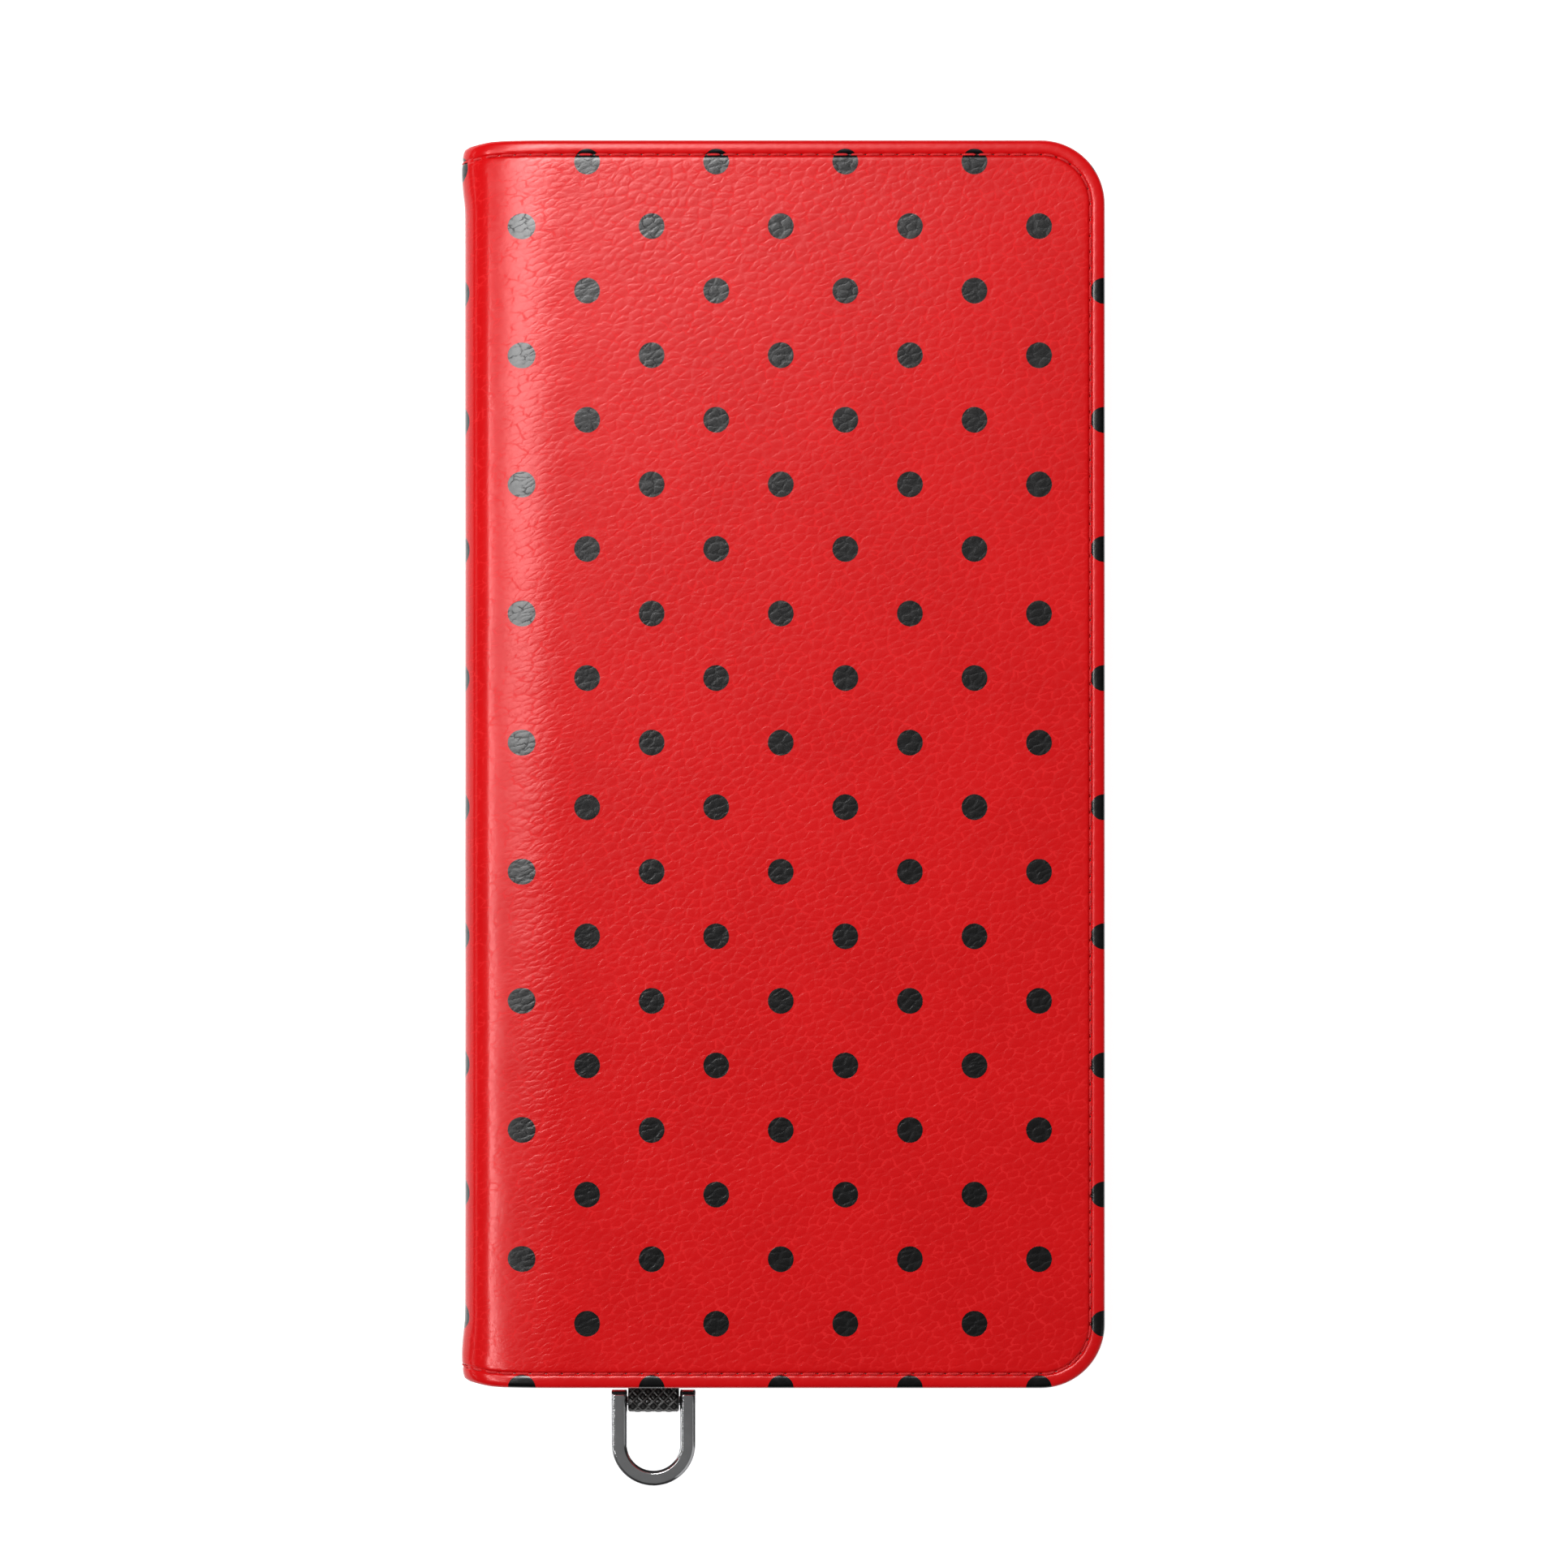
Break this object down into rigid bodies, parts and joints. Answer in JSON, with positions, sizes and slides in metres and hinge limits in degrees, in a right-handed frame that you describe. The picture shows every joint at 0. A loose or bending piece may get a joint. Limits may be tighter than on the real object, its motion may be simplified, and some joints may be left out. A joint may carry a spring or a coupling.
{
  "type": "phone wallet case",
  "caption": "Closed folio phone case with card pockets, a moulded phone shell, a two-crease spine and a small ring on a webbing tab.",
  "frame": {"origin": "centre of the back cover's outer face, which is the face the closed case lies on", "axes": "+X from the spine to the free edge, +Y along the spine towards the phone's top, +Z from the back cover to the front cover"},
  "size_m": [0.0874, 0.1854, 0.0176],
  "materials": {
    "printed_leather": "red pebbled synthetic leather printed with round black dots",
    "board": "plain grey stiffening board",
    "lining": "matte black microfibre",
    "thread": "red sewing thread",
    "dark_thread": "black sewing thread",
    "magnet": "plain nickel-plated bar",
    "adhesive": "thin bonding sheet",
    "shell": "matte black moulded flexible plastic",
    "webbing": "tight black woven webbing",
    "pocket_leather": "fine-grained black synthetic leather",
    "gunmetal": "dark gunmetal plating, satin"
  },
  "bodies": {
    "back_cover": {"back_skin": "printed_leather", "back_board": "board", "back_lining": "lining", "back_stitching": "thread", "back_magnets": "magnet", "shell_adhesive": "adhesive", "phone_shell": "shell", "lanyard_tab": "webbing"},
    "spine": {"spine_skin": "printed_leather", "spine_stay": "board", "spine_lining": "lining", "spine_stitching": "thread"},
    "front_cover": {"front_skin": "printed_leather", "front_board": "board", "front_lining": "lining", "front_stitching": "thread", "front_magnets": "magnet", "cash_pocket": "pocket_leather", "card_pocket_1": "pocket_leather", "card_pocket_2": "pocket_leather", "card_pocket_3": "pocket_leather", "pocket_stitching": "dark_thread"},
    "lanyard_ring": {"shackle": "gunmetal", "shackle_pin": "gunmetal"}
  },
  "joints": [
    {"name": "spine_fold", "type": "hinge", "parent": "back_cover", "child": "spine", "pos_m": [-0.04284, 0, 0.00086], "axis": [0, -1, 0], "range_deg": [0, 90]},
    {"name": "cover_fold", "type": "hinge", "parent": "spine", "child": "front_cover", "pos_m": [-0.04284, 0, 0.01674], "axis": [0, -1, 0], "range_deg": [0, 90]},
    {"name": "ring_swing", "type": "hinge", "parent": "back_cover", "child": "lanyard_ring", "pos_m": [-0.01815, -0.08855, 0.0016], "axis": [-1, 0, 0], "range_deg": [-120, 110]}
  ],
  "couplings": [
    {"joint": "cover_fold", "follows": "spine_fold", "ratio": 1}
  ]
}
